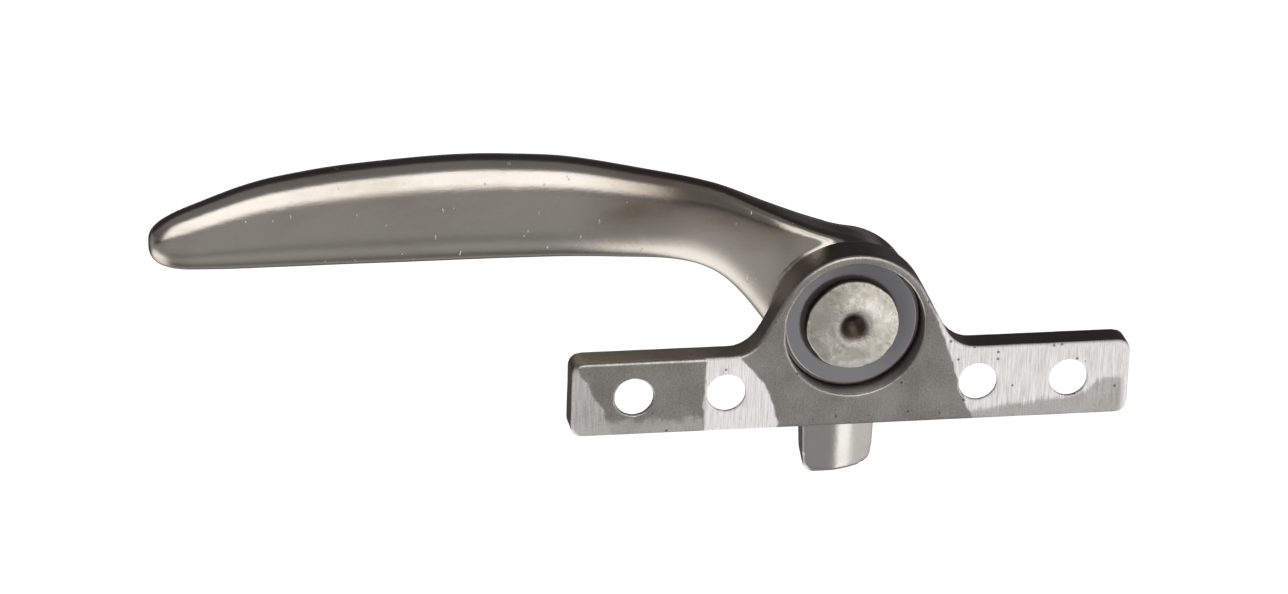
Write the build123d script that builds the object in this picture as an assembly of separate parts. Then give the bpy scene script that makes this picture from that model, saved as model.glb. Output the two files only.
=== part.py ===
from build123d import *
import math
import os

# Cockspur window handle: a cast lever that turns on a plate screwed to a window sash.
#
# Frame: millimetres. The origin is the centre of the four screw holes, on the plate's mounting
# face. +Y is that face's outward normal, into the window. The lever is on the -Y (room) side.
# +X runs along the plate to the side of the lever's tip, and +Z is across the plate, to the pivot.

# ---- screw holes and plate ----
OUTER_SPACING = 60.3          # 2 3/8 in between the outer screws
INNER_SPACING = 34.9          # 1 3/8 in between the inner screws
HOLE_RADIUS = 2.65
SINK_RADIUS = 4.6             # 90 degree countersinks, at the bottom of wells from the room side
LIP_THICKNESS = 0.6           # what a screw hole's straight wall keeps under its countersink
PLATE_LENGTH = 77.4
STRIP_TOP = 5.2               # the screws sit a little above the strip's middle
STRIP_BOTTOM = -5.6
STRIP_THICKNESS = 4.2
PLATE_CORNER = 1.6
FACE_EDGE = 0.35              # softened edges of the mounting face

# ---- boss of the plate, round the pivot ----
PIVOT_Z = 8.5                 # pivot axis above the line of the screws
BOSS_RADIUS = 10.9
BOSS_THICKNESS = 5.5
FLANK_ANGLE = 62.0            # slope of the boss's flanks from the strip, in degrees
FLANK_FILLET = 5.0
RECESS_RADIUS = 9.6
RECESS_DEPTH = 3.8
RUNNING_CLEARANCE = 0.05

# ---- stud, spring and washer ----
STUD_RADIUS = 4.5
STUD_CHAMFER = 0.5
HEAD_RADIUS = 6.45
HEAD_TOP = -0.5               # crown of the peened head, just inside the recess
HEAD_RIM = 1.0                # height of the head's upright rim
DIMPLE_RADIUS = 1.9
DIMPLE_DEPTH = 1.0
SPRING_RADIUS = 9.05
SPRING_THICKNESS = 1.0
SPRING_CONE = 0.2             # rise of the spring's inner rim over its outer rim
AXIAL_GAP = 0.05
WASHER_RADIUS = 9.8
WASHER_THICKNESS = 0.5

# ---- lever ----
HUB_RADIUS = 10.3
HUB_THICKNESS = 9.0
HUB_DRAFT = 0.35              # how much smaller the hub is at its front
HUB_EDGE = 2.0
BACK_CLEARING = 12.2          # nothing of the lever stands behind its hub within this radius
STUD_SEAT = 7.5               # depth of the stud's press seat in the hub
NOSE_REACH = 23.8             # end of the nose below the pivot
NOSE_PAD = 0.4                # the keeper face stands this much proud of the hub's back
PAD_TOP_GAP = 0.2             # the pad starts this far below the plate
NOSE_HALF_WIDTH = 5.7
NOSE_TAPER = 0.5              # how much narrower each side is at the end
NOSE_THICKNESS = 6.0
NOSE_DRAFT = 6.0              # draft of the casting, in degrees
NOSE_RAMP = 3.0               # how far the ramp falls away from the keeper face
NOSE_RAMP_TOP = -1.0          # the ramp runs out behind the plate
NOSE_CORNER = 1.9
NOSE_CREASE = 2.2             # half width of the soft crease between keeper face and ramp

HUB_BACK = -(BOSS_THICKNESS + WASHER_THICKNESS + AXIAL_GAP)

STATION_STEP = 4.5            # spacing of the sections that the arm is lofted through

# Stations along the lever: x, y, z of the section's centre (z over the pivot), half height,
# half thickness, and squareness of its front and of its back (2 is an ellipse, more is boxier).
LEVER_STATIONS = [
    (-3.0, -10.5, 0.4, 9.1, 4.0, 4.5, 9.0),
    (0.0, -10.3, 1.2, 9.3, 4.2, 4.5, 9.0),
    (8.0, -11.0, 4.0, 9.1, 4.1, 4.2, 7.0),
    (12.0, -12.7, 6.8, 7.5, 3.9, 3.8, 4.6),
    (16.0, -14.9, 9.2, 6.2, 3.6, 3.2, 3.4),
    (21.0, -17.9, 10.0, 5.9, 3.6, 2.7, 2.9),
    (28.0, -20.6, 10.1, 6.4, 3.9, 2.6, 2.7),
    (38.0, -22.6, 10.5, 7.2, 4.2, 2.4, 2.5),
    (50.0, -23.2, 10.6, 7.5, 4.3, 2.4, 2.4),
    (65.0, -22.8, 10.4, 7.1, 4.2, 2.4, 2.4),
    (78.0, -21.5, 10.0, 6.2, 3.8, 2.3, 2.3),
    (87.0, -20.0, 9.2, 4.7, 3.2, 2.2, 2.2),
    (91.2, -19.2, 8.9, 3.6, 2.7, 2.1, 2.1),
    (93.0, -18.9, 8.9, 2.5, 2.0, 2.0, 2.0),
    (93.8, -18.8, 9.0, 1.2, 1.0, 2.0, 2.0),
]


def along_pivot(radius, y_from, y_to):
    """A cylinder about the pivot axis between two y positions."""
    middle = (y_from + y_to) / 2
    return Pos(0, middle, PIVOT_Z) * Rot(90, 0, 0) * Cylinder(radius, abs(y_to - y_from))


def revolved(profile):
    """Turns a closed profile of (radius, y) corners about the pivot axis."""
    face = make_face(Polyline([(r, y, PIVOT_Z) for r, y in profile], close=True))
    return revolve(face, Axis((0, 0, PIVOT_Z), (0, 1, 0)), 360)


def plate_sketch():
    """The plate's outline: a strip, and a round boss that runs out into it by two flanks."""
    slope = math.radians(FLANK_ANGLE)
    touch_x = BOSS_RADIUS * math.sin(slope)
    touch_z = PIVOT_Z + BOSS_RADIUS * math.cos(slope)
    foot_x = touch_x + (touch_z - STRIP_TOP) / math.tan(slope)
    half = PLATE_LENGTH / 2
    outline = [
        Polyline((-touch_x, touch_z), (-foot_x, STRIP_TOP), (-half, STRIP_TOP), (-half, STRIP_BOTTOM),
                 (half, STRIP_BOTTOM), (half, STRIP_TOP), (foot_x, STRIP_TOP), (touch_x, touch_z)),
        ThreePointArc((touch_x, touch_z), (0, PIVOT_Z + BOSS_RADIUS), (-touch_x, touch_z)),
    ]
    face = make_face(outline)
    feet = [v for v in face.vertices() if abs(abs(v.X) - foot_x) < 0.01]
    face = fillet(feet, FLANK_FILLET)
    corners = [v for v in face.vertices() if abs(abs(v.X) - half) < 0.01]
    return fillet(corners, PLATE_CORNER)


def screw_hole(x):
    """A through hole with a countersink at the bottom of a well, open to the room side."""
    cone_depth = SINK_RADIUS - HOLE_RADIUS
    well_depth = STRIP_THICKNESS - LIP_THICKNESS - cone_depth
    shank = Pos(x, -STRIP_THICKNESS / 2, 0) * Rot(90, 0, 0) * Cylinder(HOLE_RADIUS, 2 * STRIP_THICKNESS)
    cone_at = Pos(x, -LIP_THICKNESS - cone_depth / 2, 0) * Rot(90, 0, 0)
    well_at = Pos(x, -STRIP_THICKNESS, 0) * Rot(90, 0, 0)
    cone = cone_at * Cone(HOLE_RADIUS, SINK_RADIUS, cone_depth)
    return shank + cone + well_at * Cylinder(SINK_RADIUS, 2 * well_depth)


def mounting_plate():
    upright = Plane(origin=(0, 0, 0), x_dir=(1, 0, 0), z_dir=(0, -1, 0))
    strip = extrude(upright * plate_sketch(), STRIP_THICKNESS)
    plate = strip + along_pivot(BOSS_RADIUS, 0, -BOSS_THICKNESS)
    plate = fillet(plate.faces().sort_by(Axis.Y)[-1].outer_wire().edges(), FACE_EDGE)
    plate -= along_pivot(RECESS_RADIUS, 1, -RECESS_DEPTH)
    plate -= along_pivot(STUD_RADIUS + RUNNING_CLEARANCE, 1, -2 * BOSS_THICKNESS)
    for spacing in (OUTER_SPACING, INNER_SPACING):
        for side in (-1, 1):
            plate -= screw_hole(side * spacing / 2)
    return plate


def disc_spring():
    """A slightly dished ring that stands on the recess floor by its outer rim."""
    floor = -RECESS_DEPTH
    inner = STUD_RADIUS + 2 * RUNNING_CLEARANCE
    return revolved([
        (SPRING_RADIUS, floor),
        (SPRING_RADIUS, floor + SPRING_THICKNESS),
        (inner, floor + SPRING_THICKNESS + SPRING_CONE),
        (inner, floor + SPRING_CONE),
    ])


def thrust_washer():
    washer = along_pivot(WASHER_RADIUS, -BOSS_THICKNESS, -BOSS_THICKNESS - WASHER_THICKNESS)
    return washer - along_pivot(STUD_RADIUS + 2 * RUNNING_CLEARANCE, 0, -2 * BOSS_THICKNESS)


def pivot_stud():
    """The stud's shank, and a low peened head with a punched dimple."""
    under_head = -RECESS_DEPTH + SPRING_THICKNESS + SPRING_CONE + AXIAL_GAP
    rim_top = under_head + HEAD_RIM
    inner_end = HUB_BACK - STUD_SEAT
    outline = [
        Polyline(
            (0, inner_end),
            (STUD_RADIUS - STUD_CHAMFER, inner_end),
            (STUD_RADIUS, inner_end + STUD_CHAMFER),
            (STUD_RADIUS, under_head),
            (HEAD_RADIUS, under_head),
            (HEAD_RADIUS, rim_top),
        ),
        Spline(
            (HEAD_RADIUS, rim_top),
            (HEAD_RADIUS * 0.75, (rim_top + 2 * HEAD_TOP) / 3),
            (DIMPLE_RADIUS, HEAD_TOP),
            tangents=[(0, 1), (-1, 0)],
        ),
        Line((DIMPLE_RADIUS, HEAD_TOP), (0, HEAD_TOP - DIMPLE_DEPTH)),
        Line((0, HEAD_TOP - DIMPLE_DEPTH), (0, inner_end)),
    ]
    return Pos(0, 0, PIVOT_Z) * revolve(make_face(outline), Axis.Y, 360)


def evenly_spaced(outline, count):
    """That many points at equal steps along a closed outline."""
    after = outline[1:] + outline[:1]
    lengths = [(two - one).length for one, two in zip(outline, after)]
    step = sum(lengths) / count
    points = []
    walked = 0.0
    for one, two, length in zip(outline, after, lengths):
        while len(points) < count and step * len(points) <= walked + length:
            points.append(one + (two - one) * ((step * len(points) - walked) / length))
        walked += length
    return points


def lever_section(x, y, z, half_height, half_thickness, front, back):
    """A closed smooth section of the lever in the plane of that x.

    Every section has the same spline parameters, so that the loft runs evenly between them.
    """
    count = 40
    fine = 20 * count
    outline = []
    for index in range(fine):
        angle = 2 * math.pi * index / fine
        c, s = math.cos(angle), math.sin(angle)
        squareness = back if c > 0 else front
        across = half_thickness * math.copysign(abs(c) ** (2 / squareness), c)
        rise = half_height * math.copysign(abs(s) ** (2 / squareness), s)
        outline.append(Vector(x, y + across, PIVOT_Z + z + rise))
    knots = [index / count for index in range(count + 1)]
    points = evenly_spaced(outline, count)
    return make_face(Edge.make_spline(points, periodic=True, parameters=knots))


def station_slopes(column):
    """How fast one value of the stations changes along x at each station, without overshoot."""
    rates = []
    for one, two in zip(LEVER_STATIONS, LEVER_STATIONS[1:]):
        rates.append((two[column] - one[column]) / (two[0] - one[0]))
    inner = [2 * a * b / (a + b) if a * b > 0 else 0.0 for a, b in zip(rates, rates[1:])]
    return [rates[0]] + inner + [rates[-1]]


def filled_stations():
    """The stations with more between them, on smooth curves through the given ones."""
    columns = range(1, len(LEVER_STATIONS[0]))
    slopes = {column: station_slopes(column) for column in columns}
    filled = []
    for index, (one, two) in enumerate(zip(LEVER_STATIONS, LEVER_STATIONS[1:])):
        length = two[0] - one[0]
        parts = max(1, round(length / STATION_STEP))
        for part in range(parts):
            u = part / parts
            row = [one[0] + u * length]
            for column in columns:
                start, end = slopes[column][index] * length, slopes[column][index + 1] * length
                a, b = one[column], two[column]
                row.append(a + start * u + (3 * (b - a) - 2 * start - end) * u ** 2
                           + (2 * (a - b) + start + end) * u ** 3)
            filled.append(row)
    return filled + [LEVER_STATIONS[-1]]


def lever_arm():
    return loft([lever_section(*station) for station in filled_stations()])


def lever_hub():
    front = HUB_BACK - HUB_THICKNESS
    hub = revolved([
        (0, HUB_BACK),
        (HUB_RADIUS, HUB_BACK),
        (HUB_RADIUS - HUB_DRAFT, front),
        (0, front),
    ])
    return fillet(hub.edges().sort_by(Axis.Y)[0], HUB_EDGE)


def lever_nose():
    """The cockspur: a leg down from the hub with a ramp on its leading (-X) side."""
    end = PIVOT_Z - NOSE_REACH
    tip = NOSE_HALF_WIDTH - NOSE_TAPER
    pad = HUB_BACK + NOSE_PAD
    pad_top = STRIP_BOTTOM - PAD_TOP_GAP
    upright = Plane(origin=(0, pad, 0), x_dir=(1, 0, 0), z_dir=(0, -1, 0))
    outline = make_face(Polyline([
        (-NOSE_HALF_WIDTH, PIVOT_Z - HUB_RADIUS / 2),
        (NOSE_HALF_WIDTH, PIVOT_Z - HUB_RADIUS / 2),
        (NOSE_HALF_WIDTH, STRIP_BOTTOM),
        (tip, end),
        (-tip, end),
        (-NOSE_HALF_WIDTH, STRIP_BOTTOM),
    ], close=True))
    corners = [v for v in outline.vertices() if abs(v.Y - end) < 0.01]
    outline = fillet(corners, NOSE_CORNER)
    nose = extrude(upright * outline, NOSE_THICKNESS, taper=NOSE_DRAFT)
    far = 2 * NOSE_HALF_WIDTH
    nose -= Pos(0, HUB_BACK + far / 2, pad_top + far / 2 + HUB_RADIUS) * Box(
        2 * far, far, far + 2 * HUB_RADIUS)
    slope = NOSE_RAMP / NOSE_HALF_WIDTH
    keeper_edge = (NOSE_CREASE, pad)
    ramp_edge = (-NOSE_CREASE, pad - slope * NOSE_CREASE)
    wedge = make_face([
        Bezier(keeper_edge, (0, pad), ramp_edge),
        Polyline(ramp_edge, (-far, pad - slope * far), (-far, 0), (NOSE_CREASE, 0), keeper_edge),
    ])
    ramp = Pos(0, 0, end - 1) * extrude(wedge, NOSE_RAMP_TOP - end + 1)
    return nose - ramp


def lever():
    casting = lever_hub() + lever_arm() + lever_nose()
    casting -= along_pivot(BACK_CLEARING, HUB_BACK, 0)
    casting -= along_pivot(STUD_RADIUS, 0, HUB_BACK - STUD_SEAT)
    return casting


os.makedirs("parts", exist_ok=True)
NODES = {
    "mounting_plate": mounting_plate,
    "lever": lever,
    "pivot_stud": pivot_stud,
    "disc_spring": disc_spring,
    "thrust_washer": thrust_washer,
}
for name, build in NODES.items():
    export_step(build(), f"parts/{name}.step")
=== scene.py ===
import math

import bmesh
import bpy
from mathutils import Matrix, Vector, noise


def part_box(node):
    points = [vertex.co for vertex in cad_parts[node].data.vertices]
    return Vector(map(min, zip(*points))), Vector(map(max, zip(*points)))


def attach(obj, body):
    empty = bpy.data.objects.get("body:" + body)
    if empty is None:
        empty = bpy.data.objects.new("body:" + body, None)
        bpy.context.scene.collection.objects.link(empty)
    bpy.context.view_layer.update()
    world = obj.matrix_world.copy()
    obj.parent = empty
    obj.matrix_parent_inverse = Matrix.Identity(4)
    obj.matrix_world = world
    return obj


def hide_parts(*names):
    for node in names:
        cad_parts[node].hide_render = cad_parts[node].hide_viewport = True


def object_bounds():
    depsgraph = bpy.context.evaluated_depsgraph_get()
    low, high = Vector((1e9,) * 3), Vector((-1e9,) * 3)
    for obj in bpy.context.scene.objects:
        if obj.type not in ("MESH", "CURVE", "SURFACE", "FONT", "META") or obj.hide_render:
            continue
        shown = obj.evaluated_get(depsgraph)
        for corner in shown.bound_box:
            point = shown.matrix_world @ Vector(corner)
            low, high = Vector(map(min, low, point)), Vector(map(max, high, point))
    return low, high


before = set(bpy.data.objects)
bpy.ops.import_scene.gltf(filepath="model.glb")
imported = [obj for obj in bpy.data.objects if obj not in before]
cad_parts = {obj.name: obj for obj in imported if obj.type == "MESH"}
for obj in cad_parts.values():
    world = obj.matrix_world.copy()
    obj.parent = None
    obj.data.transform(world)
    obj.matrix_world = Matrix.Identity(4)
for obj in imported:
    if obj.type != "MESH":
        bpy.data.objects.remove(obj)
CAD_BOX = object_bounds()

MM = 0.001

# ---- places and sizes, from the frame ----
STUD_LOW, STUD_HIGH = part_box("pivot_stud")
SPRING_LOW, SPRING_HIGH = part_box("disc_spring")
WASHER_LOW, WASHER_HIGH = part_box("thrust_washer")
PIVOT = Vector((0, 0, (STUD_LOW.z + STUD_HIGH.z) / 2))
HEAD_RADIUS = (STUD_HIGH.x - STUD_LOW.x) / 2
HEAD_FROM = STUD_HIGH.y - 2.05 * MM      # the underside of the stud's head
SHANK_RADIUS = HEAD_RADIUS * 4.5 / 6.45  # a 4.5 mm shank under a 6.45 mm head
BORE_RADIUS = HEAD_RADIUS * 4.6 / 6.45   # of the spring and the washer, round the shank
SPRING_RADIUS = (SPRING_HIGH.x - SPRING_LOW.x) / 2
WASHER_RADIUS = (WASHER_HIGH.x - WASHER_LOW.x) / 2

# ---- camera: seen from the mounting side, a little from the left and above ----
VIEW_AZIMUTH = math.radians(10.97)       # from +Y towards +X
VIEW_ELEVATION = math.radians(23.51)
VIEW_ROLL = math.radians(1.973)
VIEW_DISTANCE = 797.8 * MM
AIM_RIGHT = -28.6 * MM                   # the middle of the view, from the pivot
AIM_UP = 4.5 * MM
LENS = 165.0
SENSOR = 36.0


# ================= shader helpers =================

def add(tree, kind, inputs=None, **settings):
    """Adds a shader node, sets its properties, and links or sets its inputs."""
    node = tree.nodes.new(kind)
    for key, value in settings.items():
        setattr(node, key, value)
    for key, value in (inputs or {}).items():
        if isinstance(value, bpy.types.NodeSocket):
            tree.links.new(value, node.inputs[key])
        else:
            node.inputs[key].default_value = value
    return node


def maths(tree, operation, *values):
    return add(tree, "ShaderNodeMath", dict(enumerate(values)), operation=operation).outputs[0]


def ramp(tree, value, start, end, low=0.0, high=1.0):
    """A smooth step from low at start to high at end."""
    inputs = {"Value": value, "From Min": start, "From Max": end, "To Min": low, "To Max": high}
    return add(tree, "ShaderNodeMapRange", inputs, interpolation_type="SMOOTHSTEP").outputs["Result"]


def window(tree, value, low, high, soft):
    """1 between low and high, and 0 outside, with soft borders."""
    rise = ramp(tree, value, low - soft, low + soft)
    fall = ramp(tree, value, high - soft, high + soft, 1.0, 0.0)
    return maths(tree, "MULTIPLY", rise, fall)


def blend(tree, factor, a, b):
    """Colour a where factor is 0 and colour b where it is 1."""
    inputs = {0: factor, 6: a, 7: b}
    return add(tree, "ShaderNodeMix", inputs, data_type="RGBA").outputs[2]


def grain(tree, point, stretch, scale=1.0, detail=3.0, rough=0.5, seed=(0.0, 0.0, 0.0)):
    """Noise over a point in millimetres, drawn out by stretch."""
    mapped = add(tree, "ShaderNodeMapping", {"Vector": point, "Location": seed, "Scale": stretch})
    inputs = {"Vector": mapped.outputs[0], "Scale": scale, "Detail": detail, "Roughness": rough}
    return add(tree, "ShaderNodeTexNoise", inputs).outputs["Fac"]


def start_material(name):
    """A material with its shader, and the surface point in millimetres with its x, y and z."""
    material = bpy.data.materials.new(name)
    material.use_nodes = True
    tree = material.node_tree
    shader = tree.nodes["Principled BSDF"]
    place = add(tree, "ShaderNodeTexCoord").outputs["Object"]
    inputs = {0: place, "Scale": 1 / MM}
    point = add(tree, "ShaderNodeVectorMath", inputs, operation="SCALE").outputs[0]
    split = add(tree, "ShaderNodeSeparateXYZ", {0: point})
    return material, tree, shader, point, split.outputs


def from_axis(tree, point, centre):
    """The distance in millimetres from the line through centre along Y."""
    away = add(tree, "ShaderNodeVectorMath", {0: point, 1: -centre}, operation="ADD")
    flat = add(tree, "ShaderNodeVectorMath", {0: away.outputs[0], 1: (1, 0, 1)}, operation="MULTIPLY")
    return add(tree, "ShaderNodeVectorMath", {0: flat.outputs[0]}, operation="LENGTH").outputs["Value"]


def bump(tree, shader, height, distance, below=None):
    """Adds a bump of that height in metres on top of another one."""
    inputs = {"Height": height, "Distance": distance, "Strength": 1.0}
    if below is not None:
        inputs["Normal"] = below
    out = add(tree, "ShaderNodeBump", inputs).outputs[0]
    tree.links.new(out, shader.inputs["Normal"])
    return out


# ================= materials =================

WHITE_METAL = (0.62, 0.585, 0.54, 1)
NOSE_METAL = (0.60, 0.59, 0.565, 1)
TARNISH = (0.36, 0.30, 0.24, 1)
BRIGHT_METAL = (0.97, 0.965, 0.95, 1)
PLATE_SKIN = (0.62, 0.605, 0.58, 1)
PLATE_DARK_SKIN = (0.40, 0.385, 0.36, 1)
PIT_GRIME = (0.16, 0.13, 0.10, 1)
STUD_WHITE = (0.99, 0.97, 0.92, 1)
STUD_YELLOW = (0.76, 0.72, 0.64, 1)
STUD_SHADED_SIDE = (0.40, 0.375, 0.33, 1)
STUD_PAINTED_SHADE = (0.12, 0.095, 0.075, 1)
SPRING_PAINTED_SHADE = (0.27, 0.275, 0.30, 1)
SPRING_BLUE = (0.48, 0.49, 0.53, 1)
SPRING_PAINTED_SHADOW = (0.11, 0.10, 0.095, 1)
WASHER_BLACK = (0.035, 0.035, 0.037, 1)
WASHER_GREY = (0.085, 0.083, 0.08, 1)


def lever_metal():
    """Worn satin white metal: brown tarnish at the neck and tip, faint long scratches, nicks."""
    material, tree, shader, point, (x, _, z) = start_material("lever_metal")
    cloud = grain(tree, point, (0.05, 0.12, 0.12), detail=4.0)
    speckle = grain(tree, point, (1, 1, 1), scale=2.5, detail=4.0, rough=0.65)
    lines = grain(tree, point, (0.35, 7.0, 7.0), detail=3.0, rough=0.7)
    nicks = grain(tree, point, (1.1, 0.5, 0.4), scale=1.3, detail=1.0, seed=(5, 1, 3))
    nicks = maths(tree, "MULTIPLY", ramp(tree, nicks, 0.75, 0.78), ramp(tree, z, 2.0, 6.0))
    stain = maths(tree, "MULTIPLY", ramp(tree, cloud, 0.5, 0.8), 0.5)
    stain = maths(tree, "MULTIPLY_ADD", ramp(tree, speckle, 0.5, 0.8), 0.15, stain)
    neck = maths(tree, "MULTIPLY", window(tree, x, 4.0, 32.0, 5.0), ramp(tree, z, 15.0, 21.0))
    hollow = maths(tree, "MULTIPLY", neck, maths(tree, "MULTIPLY_ADD", cloud, 1.2, 0.1))
    tip = maths(tree, "MULTIPLY", ramp(tree, x, 85.0, 92.0), ramp(tree, cloud, 0.4, 0.6))
    stain = maths(tree, "MULTIPLY_ADD", hollow, 0.8, stain)
    stain = maths(tree, "MULTIPLY_ADD", tip, 0.5, stain)
    skin = blend(tree, ramp(tree, z, -1.0, -6.0), WHITE_METAL, NOSE_METAL)
    colour = blend(tree, stain, skin, TARNISH)
    colour = blend(tree, maths(tree, "MULTIPLY", nicks, 0.45), colour, BRIGHT_METAL)
    tree.links.new(colour, shader.inputs["Base Color"])
    shader.inputs["Metallic"].default_value = 1.0
    rough = maths(tree, "MULTIPLY_ADD", nicks, 0.2, 0.15)
    rough = maths(tree, "MULTIPLY_ADD", lines, 0.08, rough)
    rough = maths(tree, "MULTIPLY_ADD", stain, 0.08, rough)
    tree.links.new(rough, shader.inputs["Roughness"])
    fine = bump(tree, shader, lines, 0.006 * MM)
    fine = bump(tree, shader, speckle, 0.008 * MM, below=fine)
    bump(tree, shader, maths(tree, "MULTIPLY", nicks, -1.0), 0.03 * MM, below=fine)
    return material


def plate_metal():
    """White metal with a mottled grey skin, pits, and patches where its back was ground bright."""
    material, tree, shader, point, (x, y, z) = start_material("plate_metal")
    edge = grain(tree, point, (0.35, 0.35, 0.35), detail=5.0, rough=0.6, seed=(3, 0, 7))
    edge = maths(tree, "MULTIPLY_ADD", edge, 5.0, -2.5)
    lines = grain(tree, point, (5.0, 1.0, 0.22), detail=4.0, rough=0.75)
    cloud = grain(tree, point, (0.16, 0.16, 0.16), detail=4.0, seed=(11, 5, 2))

    # the arm away from the lever: bright past a slanted line, and duller along its lower edge
    ragged_x = maths(tree, "MULTIPLY_ADD", edge, 0.35, x)
    slanted = maths(tree, "MULTIPLY_ADD", z, -0.37, ragged_x)
    free_arm = ramp(tree, slanted, -15.1, -14.7, 1.0, 0.0)
    dull_top = maths(tree, "MULTIPLY_ADD", x, 0.12, maths(tree, "MULTIPLY_ADD", edge, 0.5, z))
    dull_top = maths(tree, "MULTIPLY_ADD", ramp(tree, x, -32.6, -34.4), -1.6, dull_top)
    dull_top = maths(tree, "MULTIPLY_ADD", lines, 2.4, dull_top)
    dull_end = maths(tree, "MULTIPLY", ramp(tree, dull_top, -4.6, -5.5), ramp(tree, x, -38.2, -37.4))
    free_arm = maths(tree, "MULTIPLY_ADD", dull_end, -0.62, free_arm)

    # the arm under the lever: bright round its inner hole, and a little at its edge and corner
    rise = maths(tree, "ADD", z, 5.6)
    arc_x = maths(tree, "MULTIPLY_ADD", maths(tree, "MULTIPLY", rise, rise), 0.048, 10.2)
    from_arc = maths(tree, "SUBTRACT", ragged_x, arc_x)
    round_hole = ramp(tree, from_arc, -0.25, 0.25)
    round_hole = maths(tree, "MULTIPLY", round_hole, ramp(tree, ragged_x, 20.7, 20.2))
    strip_top = maths(tree, "MULTIPLY_ADD", edge, 0.9, z)
    strip_top = maths(tree, "MULTIPLY_ADD", lines, 2.4, strip_top)
    low_strip = ramp(tree, strip_top, -1.7, -2.9)
    low_strip = maths(tree, "MULTIPLY", low_strip, window(tree, x, 11.0, 60.0, 0.3))
    corner = maths(tree, "MULTIPLY_ADD", z, -0.55, maths(tree, "MULTIPLY_ADD", edge, 0.6, x))
    corner = ramp(tree, corner, 35.2, 35.8)
    lever_arm = maths(tree, "MAXIMUM", round_hole, maths(tree, "MULTIPLY", low_strip, 0.3))
    lever_arm = maths(tree, "MAXIMUM", lever_arm, maths(tree, "MULTIPLY", corner, 0.42))

    patch = maths(tree, "MAXIMUM", free_arm, lever_arm)
    patch = maths(tree, "MULTIPLY", patch, ramp(tree, y, -0.6, -0.2))
    streaks = ramp(tree, lines, 0.32, 0.62)
    patch = maths(tree, "MULTIPLY", patch, maths(tree, "MULTIPLY_ADD", streaks, 0.55, 0.45))

    # the skin, browner on the sides and room side, and its pits
    speckle = grain(tree, point, (1, 1, 1), scale=3.0, detail=4.0, rough=0.7)
    mottle = maths(tree, "MULTIPLY_ADD", speckle, 0.8, maths(tree, "MULTIPLY_ADD", cloud, 0.8, -0.3))
    skin = blend(tree, ramp(tree, mottle, 0.3, 0.75), PLATE_SKIN, PLATE_DARK_SKIN)
    side = maths(tree, "MULTIPLY", ramp(tree, y, -0.35, -0.8), 0.75)
    skin = blend(tree, side, skin, TARNISH)
    colour = blend(tree, patch, skin, BRIGHT_METAL)
    holes = add(tree, "ShaderNodeTexVoronoi", {"Vector": point, "Scale": 0.9, "Randomness": 1.0})
    chosen = add(tree, "ShaderNodeSeparateXYZ", {0: holes.outputs["Color"]}).outputs[0]
    size = ramp(tree, chosen, 0.62, 1.0, 0.0, 0.19)
    gap = maths(tree, "SUBTRACT", holes.outputs["Distance"], size)
    pit = maths(tree, "MULTIPLY", ramp(tree, gap, 0.03, -0.03), ramp(tree, size, 0.01, 0.05))
    colour = blend(tree, maths(tree, "MULTIPLY", pit, 0.75), colour, PIT_GRIME)
    tree.links.new(colour, shader.inputs["Base Color"])
    metallic = maths(tree, "MULTIPLY_ADD", patch, -0.8, 1.0)
    tree.links.new(metallic, shader.inputs["Metallic"])
    rough = maths(tree, "MULTIPLY_ADD", patch, 0.36, 0.27)
    rough = maths(tree, "MULTIPLY_ADD", lines, 0.08, rough)
    tree.links.new(rough, shader.inputs["Roughness"])
    fine = bump(tree, shader, lines, 0.02 * MM)
    fine = bump(tree, shader, speckle, 0.03 * MM, below=fine)
    bump(tree, shader, maths(tree, "MULTIPLY", pit, -1.0), 0.12 * MM, below=fine)
    return material


def stud_metal():
    """Hammered, slightly yellow white metal, with painted shade on its left side, in its dimple and
    round its side.
    """
    material, tree, shader, point, (x, y, z) = start_material("stud_metal")
    cloud = grain(tree, point, (0.45, 0.45, 0.45), detail=5.0, rough=0.6)
    speckle = grain(tree, point, (1, 1, 1), scale=4.0, detail=4.0, rough=0.7)
    colour = blend(tree, ramp(tree, cloud, 0.3, 0.7), STUD_WHITE, STUD_YELLOW)
    # painted shade: the head darkens towards +X and up, its left side, broken by a random cloud
    shaded_side = maths(tree, "MULTIPLY_ADD", cloud, 4.0, maths(tree, "MULTIPLY_ADD", z, 0.25, x))
    colour = blend(tree, ramp(tree, shaded_side, 2.2, 9.0, 0.0, 0.75), colour, STUD_SHADED_SIDE)
    # painted shade in the punched dimple
    dimple = maths(tree, "MULTIPLY_ADD", speckle, 0.9, from_axis(tree, point, PIVOT / MM))
    colour = blend(tree, ramp(tree, dimple, 3.2, 1.9), colour, STUD_PAINTED_SHADE)
    # painted shade on the head's side wall, below its rim
    unshaded_from = HEAD_FROM / MM + 1.0
    rim = maths(tree, "MULTIPLY_ADD", speckle, 0.3, y)
    colour = blend(tree, ramp(tree, rim, unshaded_from, unshaded_from - 0.25), colour, STUD_PAINTED_SHADE)
    tree.links.new(colour, shader.inputs["Base Color"])
    shader.inputs["Metallic"].default_value = 1.0
    rough = maths(tree, "MULTIPLY_ADD", cloud, 0.2, 0.12)
    tree.links.new(rough, shader.inputs["Roughness"])
    bump(tree, shader, speckle, 0.10 * MM)
    return material


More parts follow.
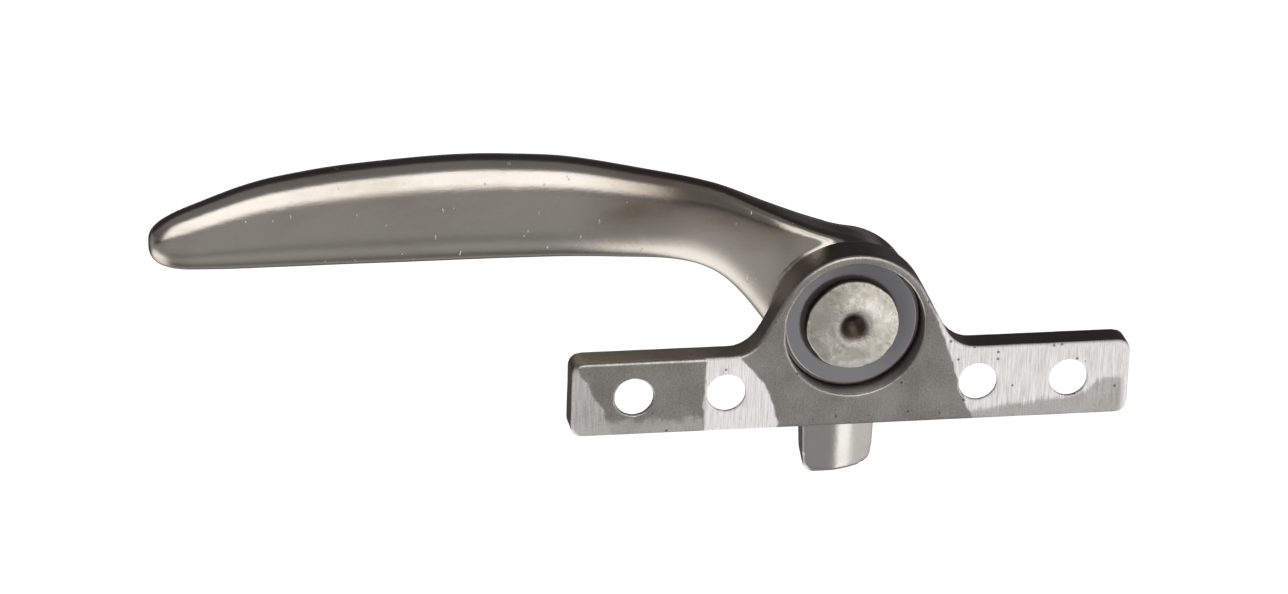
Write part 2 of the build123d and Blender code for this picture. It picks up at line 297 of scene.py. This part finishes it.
def spring_steel():
    """Blue-grey tempered steel, with painted shade on its right side and a painted shadow round the
    stud's head.
    """
    material, tree, shader, point, (x, _, z) = start_material("spring_steel")
    cloud = grain(tree, point, (0.2, 0.2, 0.2), detail=4.0)
    speckle = grain(tree, point, (1, 1, 1), scale=3.5, detail=3.0, rough=0.7)
    # painted shade: the ring darkens towards -X and up, its right side, broken by a random cloud
    across = maths(tree, "MULTIPLY_ADD", z, -0.6, maths(tree, "MULTIPLY_ADD", cloud, 6.0, x))
    colour = blend(tree, ramp(tree, across, -10.0, 4.0), SPRING_PAINTED_SHADE, SPRING_BLUE)
    # a painted shadow on the ring round the stud's head, shifted towards +X and up
    shadow_centre = PIVOT / MM + Vector((0.4, 0, 0.25))
    radius = maths(tree, "MULTIPLY_ADD", speckle, 0.4, from_axis(tree, point, shadow_centre))
    colour = blend(tree, ramp(tree, radius, 7.2, 6.8), colour, SPRING_PAINTED_SHADOW)
    tree.links.new(colour, shader.inputs["Base Color"])
    shader.inputs["Metallic"].default_value = 1.0
    rough = maths(tree, "MULTIPLY_ADD", speckle, 0.2, 0.3)
    tree.links.new(rough, shader.inputs["Roughness"])
    bump(tree, shader, speckle, 0.012 * MM)
    return material


def washer_plastic():
    """Dark grey moulded plastic, mottled, with a fine texture."""
    material, tree, shader, point, _ = start_material("washer_plastic")
    cloud = grain(tree, point, (0.6, 0.6, 0.6), detail=4.0)
    colour = blend(tree, cloud, WASHER_BLACK, WASHER_GREY)
    tree.links.new(colour, shader.inputs["Base Color"])
    rough = maths(tree, "MULTIPLY_ADD", cloud, 0.25, 0.35)
    tree.links.new(rough, shader.inputs["Roughness"])
    bump(tree, shader, grain(tree, point, (1, 1, 1), scale=5.0), 0.02 * MM)
    return material


# ================= pieces =================

def new_piece(name, mesh, material, node, body):
    """Puts a finished mesh in the scene as the piece that stands for a CAD node."""
    piece = bpy.data.objects.new(name, mesh)
    bpy.context.scene.collection.objects.link(piece)
    mesh.materials.clear()
    mesh.materials.append(material)
    for face in mesh.polygons:
        face.use_smooth = True
    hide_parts(node)
    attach(piece, body)
    return piece


def cast_mesh(node, voxel, passes):
    """A copy of a CAD node with the soft edges and hollows of a casting."""
    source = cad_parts[node]
    work = bpy.data.objects.new(node + "_work", source.data.copy())
    bpy.context.scene.collection.objects.link(work)
    shell = bmesh.new()
    shell.from_mesh(work.data)
    bmesh.ops.remove_doubles(shell, verts=shell.verts, dist=0.001 * MM)
    shell.to_mesh(work.data)
    shell.free()
    remesh = work.modifiers.new("remesh", "REMESH")
    remesh.mode = "VOXEL"
    remesh.voxel_size = voxel
    smooth = work.modifiers.new("smooth", "SMOOTH")
    smooth.factor = 0.5
    smooth.iterations = passes
    graph = bpy.context.evaluated_depsgraph_get()
    mesh = bpy.data.meshes.new_from_object(work.evaluated_get(graph))
    bpy.data.objects.remove(work)
    return mesh


def roughen(mesh, amount, feature):
    """Moves the surface in and out a little, as cast and hand-finished metal is."""
    normals = [Vector(item.vector) for item in mesh.vertex_normals]
    for vertex, normal in zip(mesh.vertices, normals):
        shift = noise.fractal(vertex.co / feature, 1.0, 2.0, 3)
        vertex.co += normal * (shift * amount)


def ease(mesh, low, high, passes):
    """Smooths the mesh inside a box, where two forms of the casting run into each other."""
    shell = bmesh.new()
    shell.from_mesh(mesh)
    inside = [v for v in shell.verts if all(a < c < b for a, c, b in zip(low, v.co, high))]
    axes = {"use_axis_x": True, "use_axis_y": True, "use_axis_z": True}
    for _ in range(passes):
        bmesh.ops.smooth_vert(shell, verts=inside, factor=0.5, **axes)
    shell.to_mesh(mesh)
    shell.free()


def lathe(name, profile, segments, shape=None):
    """A closed mesh turned about the pivot axis.

    The profile is a list of (radius, y). Where it ends on the axis it closes in a point, and
    otherwise it closes on itself. shape(radius, y, angle) may move each point.
    """
    solid = profile[0][0] == 0
    rings = profile[1:-1] if solid else profile
    mesh = bmesh.new()
    rows = []
    for radius, y in rings:
        row = []
        for index in range(segments):
            angle = 2 * math.pi * index / segments
            r, level = shape(radius, y, angle) if shape else (radius, y)
            spot = Vector((r * math.cos(angle), level, r * math.sin(angle)))
            row.append(mesh.verts.new(PIVOT + spot))
        rows.append(row)
    pairs = list(zip(rows, rows[1:]))
    if not solid:
        pairs.append((rows[-1], rows[0]))
    for one, two in pairs:
        for i in range(segments):
            j = (i + 1) % segments
            mesh.faces.new((one[i], one[j], two[j], two[i]))
    if solid:
        for (_, y), row in ((profile[0], rows[0]), (profile[-1], rows[-1])):
            level = shape(0, y, 0)[1] if shape else y
            tip = mesh.verts.new(PIVOT + Vector((0, level, 0)))
            for i in range(segments):
                mesh.faces.new((row[i], row[(i + 1) % segments], tip))
    bmesh.ops.recalc_face_normals(mesh, faces=mesh.faces)
    made = bpy.data.meshes.new(name)
    mesh.to_mesh(made)
    mesh.free()
    return made


def arc(centre, radius, start, end, count):
    """Points on an arc in the (radius, y) plane, angles in degrees."""
    points = []
    for index in range(count + 1):
        angle = math.radians(start + (end - start) * index / count)
        points.append((centre[0] + radius * math.cos(angle), centre[1] + radius * math.sin(angle)))
    return points


def rounded_ring(inner, outer, low, high, edge, rise=0.0):
    """The profile of a flat ring with rounded edges. rise lifts its inner rim."""
    corners = [
        (outer - edge, high - edge, 0, 90, 0.0),
        (inner + edge, high - edge, 90, 180, rise),
        (inner + edge, low + edge, 180, 270, rise),
        (outer - edge, low + edge, 270, 360, 0.0),
    ]
    points = []
    for r, y, start, end, lift in corners:
        points += arc((r, y + lift), edge, start, end, 4)
    return points


def hammered(radius, y, angle):
    """The peened head's irregular shape: an uneven rim and marks from the hammer."""
    if y < HEAD_FROM:
        return radius, y
    spot = Vector((math.cos(angle), math.sin(angle), 0))
    part = radius / HEAD_RADIUS
    wobble = noise.fractal(spot * 2.2 + Vector((4.0, 1.0, 0)), 1.0, 2.0, 4)
    radius *= 1 + part * part * (0.022 * wobble - 0.014)
    face = spot * radius / MM
    broad = noise.noise(face * 0.3 + Vector((2.0, 7.0, 0))) * 0.10
    marks = noise.fractal(face * 1.5 + Vector((5.0, 3.0, 0)), 1.0, 2.0, 4) * 0.05
    rough_rim = noise.fractal(face * 0.9, 1.0, 2.0, 3) * 0.13 * part ** 4
    return radius, y - abs(broad + marks + rough_rim) * MM * min(1.0, part * 3)


def stud_profile():
    """The stud: its shank, and a low domed head with a raised ring round a punched dimple."""
    chamfer = 0.5 * MM
    foot = STUD_LOW.y + chamfer
    under = HEAD_FROM - 0.001 * MM       # hammered() leaves everything below the head as it is
    points = [(0, STUD_LOW.y), (SHANK_RADIUS - chamfer, STUD_LOW.y), (SHANK_RADIUS, foot)]
    shank_steps = 8
    for index in range(shank_steps + 1):
        points.append((SHANK_RADIUS, foot + (under - foot) * index / shank_steps))

    edge = 0.2 * MM
    overhang = HEAD_RADIUS - edge - SHANK_RADIUS
    under_steps = 5
    for index in range(1, under_steps + 1):
        points.append((SHANK_RADIUS + overhang * index / under_steps, under))
    points += arc((HEAD_RADIUS - edge, under + 0.25 * MM), edge, -60, 0, 3)
    shoulder = 0.25 * MM
    wall_top = under + 0.85 * MM
    points += arc((HEAD_RADIUS - shoulder, wall_top), shoulder, 0, 60, 4)

    top = STUD_HIGH.y
    face_rise = top - wall_top - 0.8 * MM
    face_steps = 36
    for index in range(1, face_steps):
        r = (HEAD_RADIUS - 0.15 * MM) * (1 - index / face_steps)
        dome = face_rise * (1 - (r / HEAD_RADIUS) ** 2.2)
        dent = 1.15 * MM * math.exp(-((r / (1.6 * MM)) ** 2.2))
        ring = 0.6 * MM * math.exp(-(((r - 2.6 * MM) / (1.7 * MM)) ** 2))
        points.append((r, min(top, wall_top + edge + dome + ring - dent)))
    points.append((0, top - 1.2 * MM))
    return points


def make_lever():
    mesh = cast_mesh("lever", voxel=0.28 * MM, passes=16)
    neck_low = (-12 * MM, -17 * MM, PIVOT.z + 3 * MM)
    neck_high = (11 * MM, -12.3 * MM, PIVOT.z + 11 * MM)
    ease(mesh, neck_low, neck_high, passes=50)
    roughen(mesh, amount=0.012 * MM, feature=9 * MM)
    new_piece("cast_lever", mesh, lever_metal(), "lever", "handle")


def make_plate():
    mesh = cast_mesh("mounting_plate", voxel=0.2 * MM, passes=11)
    roughen(mesh, amount=0.02 * MM, feature=3 * MM)
    piece = new_piece("cast_plate", mesh, plate_metal(), "mounting_plate", "base")
    piece.visible_glossy = False         # the lever mirrors the light from below, past the plate


def make_stud():
    mesh = lathe("peened_stud", stud_profile(), segments=160, shape=hammered)
    new_piece("peened_stud", mesh, stud_metal(), "pivot_stud", "handle")


def make_spring():
    cone = 0.2 * MM                      # how far its inner rim stands above the outer one
    flat_top = SPRING_HIGH.y - cone
    ring = rounded_ring(BORE_RADIUS, SPRING_RADIUS, SPRING_LOW.y, flat_top, edge=0.2 * MM, rise=cone)
    mesh = lathe("spring_ring", ring, segments=128)
    new_piece("spring_ring", mesh, spring_steel(), "disc_spring", "base")


def make_washer():
    ring = rounded_ring(BORE_RADIUS, WASHER_RADIUS, WASHER_LOW.y, WASHER_HIGH.y, edge=0.12 * MM)
    mesh = lathe("bearing_washer", ring, segments=128)
    new_piece("bearing_washer", mesh, washer_plastic(), "thrust_washer", "base")


# ================= stage, light and camera =================

def make_floor():
    """A wide pale floor below the object. It isn't seen in the metal, which mirrors the sky."""
    half = 4.0
    level = CAD_BOX[0].z - 45 * MM
    mesh = bpy.data.meshes.new("floor")
    corners = [(-half, -half, level), (half, -half, level), (half, half, level), (-half, half, level)]
    mesh.from_pydata(corners, [], [(0, 1, 2, 3)])
    floor = bpy.data.objects.new("floor", mesh)
    bpy.context.scene.collection.objects.link(floor)
    material = bpy.data.materials.new("floor")
    material.use_nodes = True
    shader = material.node_tree.nodes["Principled BSDF"]
    shader.inputs["Base Color"].default_value = (0.8, 0.8, 0.8, 1)
    shader.inputs["Roughness"].default_value = 1.0
    shader.inputs["Specular IOR Level"].default_value = 0.0
    shader.inputs["Emission Color"].default_value = (1, 1, 1, 1)
    shader.inputs["Emission Strength"].default_value = 0.84
    mesh.materials.append(material)
    floor.visible_glossy = False


# Soft panels in the sky: elevation from, to and softness, azimuth from, to and softness, and
# strength. Azimuth is 0 at +Y and grows towards +X, which is the camera's left.
SKY_PANELS = (
    (-47, -39, 4, -75, 20, 12, -0.13),   # two thin bands below the object
    (-62, -55, 4, -75, 35, 15, 0.05),
    (2, 9, 4, -75, 60, 15, -0.10),       # a dark line along the horizon, darker on the left
    (2, 9, 4, 5, 60, 15, -0.20),
    (-8, 12, 6, 32, 75, 10, -0.15),      # a dark patch on the left
    (13, 59, 5, -50, 24, 12, 1.5),       # the main light, round the camera and above it
    (29, 43, 5, -70, -18, 8, -0.8),      # a gap in its right side
    (14, 60, 8, -110, 110, 15, 0.12),    # dim light all along the front
    (-42, -4, 6, -62, -35, 5, 1.2),      # a low light on the right
    (-34, -4, 6, 10, 34, 6, -0.04),      # a little darker below the camera
    (-42, 0, 8, -115, -62, 8, 0.4),      # a dim low light further to the right
)
# Darker bands behind the object: elevation from, to and softness, and strength.
BACK_BANDS = (
    (-15, 3, 4, -0.33),
    (-34, -17, 4, -0.26),
    (6, 40, 3, -0.3),
)
GLOW_TO = (0.406, 0.122, -0.906)         # towards a soft light below the lever


def make_studio():
    """Soft studio light: grey from below, darker above, and panels of light and dark."""
    world = bpy.data.worlds.new("studio")
    bpy.context.scene.world = world
    world.use_nodes = True
    tree = world.node_tree
    tree.nodes.clear()
    direction = add(tree, "ShaderNodeTexCoord").outputs["Generated"]
    x, y, z = add(tree, "ShaderNodeSeparateXYZ", {0: direction}).outputs
    to_degrees = 180 / math.pi
    elevation = maths(tree, "MULTIPLY", maths(tree, "ARCSINE", z), to_degrees)
    azimuth = maths(tree, "MULTIPLY", maths(tree, "ARCTAN2", x, y), to_degrees)

    light = ramp(tree, elevation, 6.0, 22.0, 0.36, 0.04)
    overhead = ramp(tree, elevation, 52.0, 66.0)
    light = maths(tree, "MULTIPLY_ADD", overhead, 0.16, light)
    underneath = ramp(tree, elevation, -66.0, -84.0)
    light = maths(tree, "MULTIPLY_ADD", underneath, -0.20, light)

    for el_low, el_high, el_soft, az_low, az_high, az_soft, strength in SKY_PANELS:
        up = window(tree, elevation, el_low, el_high, el_soft)
        across = window(tree, azimuth, az_low, az_high, az_soft)
        light = maths(tree, "MULTIPLY_ADD", maths(tree, "MULTIPLY", up, across), strength, light)

    behind = ramp(tree, maths(tree, "ABSOLUTE", azimuth), 110.0, 135.0)
    for el_low, el_high, el_soft, strength in BACK_BANDS:
        band = maths(tree, "MULTIPLY", behind, window(tree, elevation, el_low, el_high, el_soft))
        light = maths(tree, "MULTIPLY_ADD", band, strength, light)
    low_corner = maths(tree, "MULTIPLY", behind, window(tree, elevation, -60, -38, 4))
    low_corner = maths(tree, "MULTIPLY", low_corner, ramp(tree, x, -0.02, -0.14))
    light = maths(tree, "MULTIPLY_ADD", low_corner, -0.26, light)

    near_glow = add(tree, "ShaderNodeVectorMath", {0: direction, 1: GLOW_TO}, operation="DOT_PRODUCT")
    glow = ramp(tree, near_glow.outputs["Value"], 0.70, 0.99)
    glow = maths(tree, "MULTIPLY", glow, ramp(tree, x, 0.0, 0.2))
    light = maths(tree, "MULTIPLY_ADD", glow, 1.1, light)

    light = maths(tree, "MAXIMUM", light, 0.035)
    studio = add(tree, "ShaderNodeBackground", {"Color": (1.0, 0.985, 0.955, 1), "Strength": light})
    backdrop = add(tree, "ShaderNodeBackground", {"Color": (0.93, 0.93, 0.93, 1), "Strength": 1.0})
    seen = add(tree, "ShaderNodeLightPath").outputs["Is Camera Ray"]
    both = add(tree, "ShaderNodeMixShader", {0: seen, 1: studio.outputs[0], 2: backdrop.outputs[0]})
    add(tree, "ShaderNodeOutputWorld", {"Surface": both.outputs[0]})


def make_camera():
    back = Vector((
        math.sin(VIEW_AZIMUTH) * math.cos(VIEW_ELEVATION),
        math.cos(VIEW_AZIMUTH) * math.cos(VIEW_ELEVATION),
        math.sin(VIEW_ELEVATION),
    ))
    level = Vector((0, 0, 1)).cross(back).normalized()
    upright = back.cross(level)
    right = level * math.cos(VIEW_ROLL) + upright * math.sin(VIEW_ROLL)
    up = upright * math.cos(VIEW_ROLL) - level * math.sin(VIEW_ROLL)
    spot = PIVOT + right * AIM_RIGHT + up * AIM_UP + back * VIEW_DISTANCE
    data = bpy.data.cameras.new("camera")
    data.lens = LENS
    data.sensor_width = SENSOR
    data.clip_start = 0.01
    data.clip_end = 100.0
    camera = bpy.data.objects.new("camera", data)
    bpy.context.scene.collection.objects.link(camera)
    turn = Matrix((right, up, back)).transposed().to_4x4()
    camera.matrix_world = Matrix.Translation(spot) @ turn
    bpy.context.scene.camera = camera


make_lever()
make_plate()
make_stud()
make_spring()
make_washer()
make_floor()
make_studio()
make_camera()
bpy.context.scene.view_settings.view_transform = "Standard"
